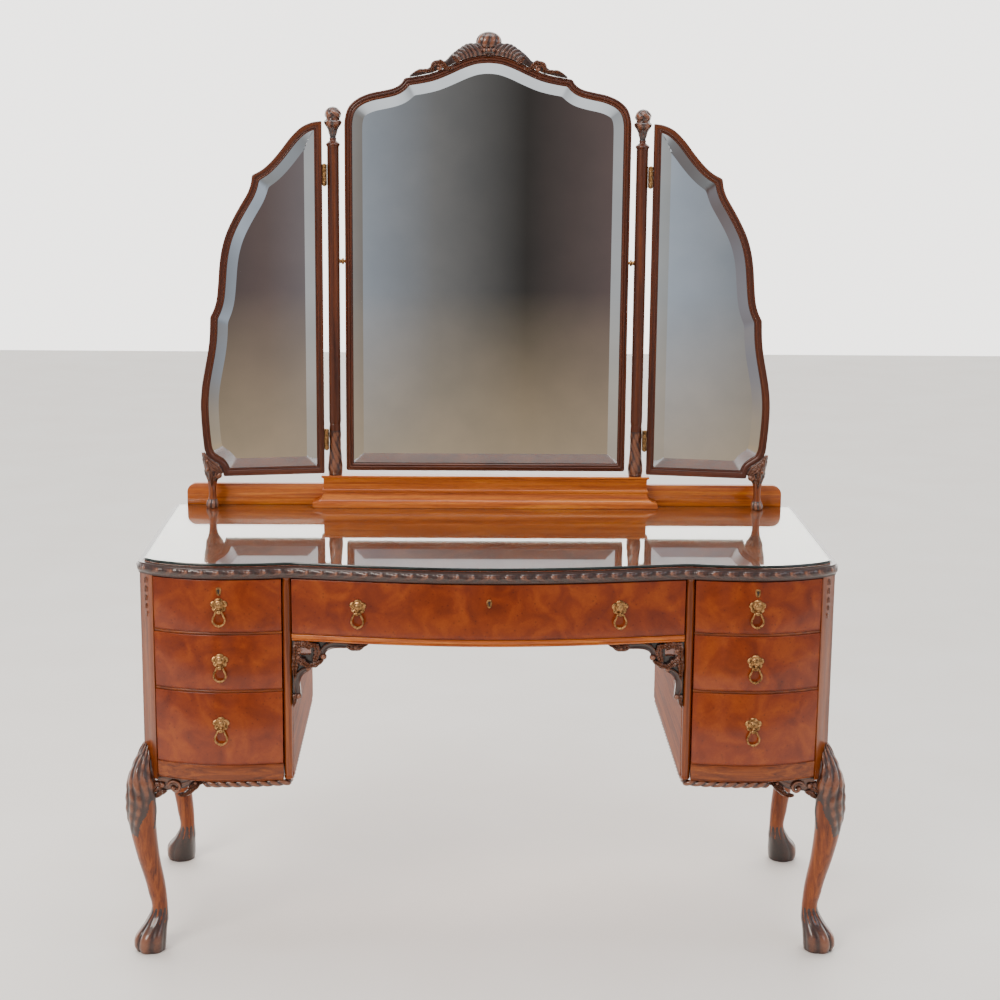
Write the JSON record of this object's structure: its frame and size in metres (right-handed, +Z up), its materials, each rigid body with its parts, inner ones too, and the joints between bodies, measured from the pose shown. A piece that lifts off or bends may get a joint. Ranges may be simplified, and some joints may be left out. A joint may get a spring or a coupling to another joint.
{
  "type": "vanity table with mirror",
  "caption": "Kneehole dressing table with bow-fronted drawer pedestals on cabriole legs, a glass top and a three-fold tilting mirror on turned posts",
  "frame": {"origin": "on the floor, under the middle of the bounding box", "axes": "+Z up, front of the table towards -Y, +X to the right of someone facing the front"},
  "size_m": [1.4402, 0.627, 1.8233],
  "materials": {
    "burr_veneer": "burr walnut veneer, polished",
    "walnut": "solid and straight-grained walnut, polished",
    "carved_walnut": "carved walnut, dark stained and polished",
    "drawer_veneer": "burr walnut front on a plain drawer box",
    "antique_brass": "cast brass with darkened hollows",
    "plate_glass": "polished plate glass with a bevelled edge",
    "silvered_glass": "silvered plate with a bevelled border"
  },
  "bodies": {
    "table": {"top_board": "burr_veneer", "carved_top_edge": "carved_walnut", "glass_top": "plate_glass", "front_left_leg": "walnut", "rear_left_leg": "walnut", "left_inner_side": "walnut", "left_outer_side": "walnut", "left_column": "walnut", "left_drawer_rack": "walnut", "front_right_leg": "walnut", "rear_right_leg": "walnut", "right_inner_side": "walnut", "right_outer_side": "walnut", "right_column": "walnut", "right_drawer_rack": "walnut", "centre_rail": "walnut", "left_bracket": "carved_walnut", "right_bracket": "carved_walnut", "mirror_base": "walnut", "gallery_board": "walnut", "left_post": "walnut", "left_lower_hinge": "antique_brass", "left_upper_hinge": "antique_brass", "left_pivot": "antique_brass", "right_post": "walnut", "right_lower_hinge": "antique_brass", "right_upper_hinge": "antique_brass", "right_pivot": "antique_brass"},
    "left_bottom_drawer": {"left_bottom_drawer": "drawer_veneer", "left_bottom_pull_plate": "antique_brass"},
    "left_middle_drawer": {"left_middle_drawer": "drawer_veneer", "left_middle_pull_plate": "antique_brass"},
    "left_top_drawer": {"left_top_drawer": "drawer_veneer", "left_top_pull_plate": "antique_brass"},
    "right_bottom_drawer": {"right_bottom_drawer": "drawer_veneer", "right_bottom_pull_plate": "antique_brass"},
    "right_middle_drawer": {"right_middle_drawer": "drawer_veneer", "right_middle_pull_plate": "antique_brass"},
    "right_top_drawer": {"right_top_drawer": "drawer_veneer", "right_top_pull_plate": "antique_brass"},
    "centre_drawer": {"centre_drawer": "drawer_veneer", "centre_left_pull_plate": "antique_brass", "centre_right_pull_plate": "antique_brass"},
    "left_bottom_pull_ring": {"left_bottom_pull_ring": "antique_brass"},
    "left_middle_pull_ring": {"left_middle_pull_ring": "antique_brass"},
    "left_top_pull_ring": {"left_top_pull_ring": "antique_brass"},
    "right_bottom_pull_ring": {"right_bottom_pull_ring": "antique_brass"},
    "right_middle_pull_ring": {"right_middle_pull_ring": "antique_brass"},
    "right_top_pull_ring": {"right_top_pull_ring": "antique_brass"},
    "centre_left_pull_ring": {"centre_left_pull_ring": "antique_brass"},
    "centre_right_pull_ring": {"centre_right_pull_ring": "antique_brass"},
    "centre_mirror": {"centre_mirror_frame": "walnut", "centre_mirror_glass": "silvered_glass", "crest": "carved_walnut"},
    "left_wing": {"left_wing_frame": "walnut", "left_wing_glass": "silvered_glass", "left_wing_foot": "carved_walnut"},
    "right_wing": {"right_wing_frame": "walnut", "right_wing_glass": "silvered_glass", "right_wing_foot": "carved_walnut"}
  },
  "joints": [
    {"name": "left_bottom_drawer_slide", "type": "slide", "parent": "table", "child": "left_bottom_drawer", "axis": [0, -1, 0], "range_m": [0, 0.3]},
    {"name": "left_middle_drawer_slide", "type": "slide", "parent": "table", "child": "left_middle_drawer", "axis": [0, -1, 0], "range_m": [0, 0.3]},
    {"name": "left_top_drawer_slide", "type": "slide", "parent": "table", "child": "left_top_drawer", "axis": [0, -1, 0], "range_m": [0, 0.3]},
    {"name": "right_bottom_drawer_slide", "type": "slide", "parent": "table", "child": "right_bottom_drawer", "axis": [0, -1, 0], "range_m": [0, 0.3]},
    {"name": "right_middle_drawer_slide", "type": "slide", "parent": "table", "child": "right_middle_drawer", "axis": [0, -1, 0], "range_m": [0, 0.3]},
    {"name": "right_top_drawer_slide", "type": "slide", "parent": "table", "child": "right_top_drawer", "axis": [0, -1, 0], "range_m": [0, 0.3]},
    {"name": "centre_drawer_slide", "type": "slide", "parent": "table", "child": "centre_drawer", "axis": [0, -1, 0], "range_m": [0, 0.32]},
    {"name": "left_bottom_pull_ring_swing", "type": "hinge", "parent": "left_bottom_drawer", "child": "left_bottom_pull_ring", "pos_m": [-0.51955, -0.2814, 0.4802], "axis": [-1, 0.0005, 0], "range_deg": [0, 90]},
    {"name": "left_middle_pull_ring_swing", "type": "hinge", "parent": "left_middle_drawer", "child": "left_middle_pull_ring", "pos_m": [-0.51955, -0.2814, 0.6077], "axis": [-1, 0.0005, 0], "range_deg": [0, 90]},
    {"name": "left_top_pull_ring_swing", "type": "hinge", "parent": "left_top_drawer", "child": "left_top_pull_ring", "pos_m": [-0.51955, -0.2814, 0.7187], "axis": [-1, 0.0005, 0], "range_deg": [0, 90]},
    {"name": "right_bottom_pull_ring_swing", "type": "hinge", "parent": "right_bottom_drawer", "child": "right_bottom_pull_ring", "pos_m": [0.51955, -0.2814, 0.4802], "axis": [-1, -0.0005, 0], "range_deg": [0, 90]},
    {"name": "right_middle_pull_ring_swing", "type": "hinge", "parent": "right_middle_drawer", "child": "right_middle_pull_ring", "pos_m": [0.51955, -0.2814, 0.6077], "axis": [-1, -0.0005, 0], "range_deg": [0, 90]},
    {"name": "right_top_pull_ring_swing", "type": "hinge", "parent": "right_top_drawer", "child": "right_top_pull_ring", "pos_m": [0.51955, -0.2814, 0.7187], "axis": [-1, -0.0005, 0], "range_deg": [0, 90]},
    {"name": "centre_left_pull_ring_swing", "type": "hinge", "parent": "centre_drawer", "child": "centre_left_pull_ring", "pos_m": [-0.25305, -0.28922, 0.7187], "axis": [-0.9874, 0.1584, 0], "range_deg": [0, 90]},
    {"name": "centre_right_pull_ring_swing", "type": "hinge", "parent": "centre_drawer", "child": "centre_right_pull_ring", "pos_m": [0.25305, -0.28922, 0.7187], "axis": [-0.9874, -0.1584, 0], "range_deg": [0, 90]},
    {"name": "centre_mirror_tilt", "type": "hinge", "parent": "table", "child": "centre_mirror", "pos_m": [0, 0.2805, 1.344], "axis": [-1, 0, 0], "range_deg": [-15, 10]},
    {"name": "left_wing_swing", "type": "hinge", "parent": "table", "child": "left_wing", "pos_m": [-0.345, 0.267, 0.96], "axis": [0, 0, 1], "range_deg": [-5, 80]},
    {"name": "right_wing_swing", "type": "hinge", "parent": "table", "child": "right_wing", "pos_m": [0.345, 0.267, 0.96], "axis": [0, 0, -1], "range_deg": [-5, 80]}
  ]
}
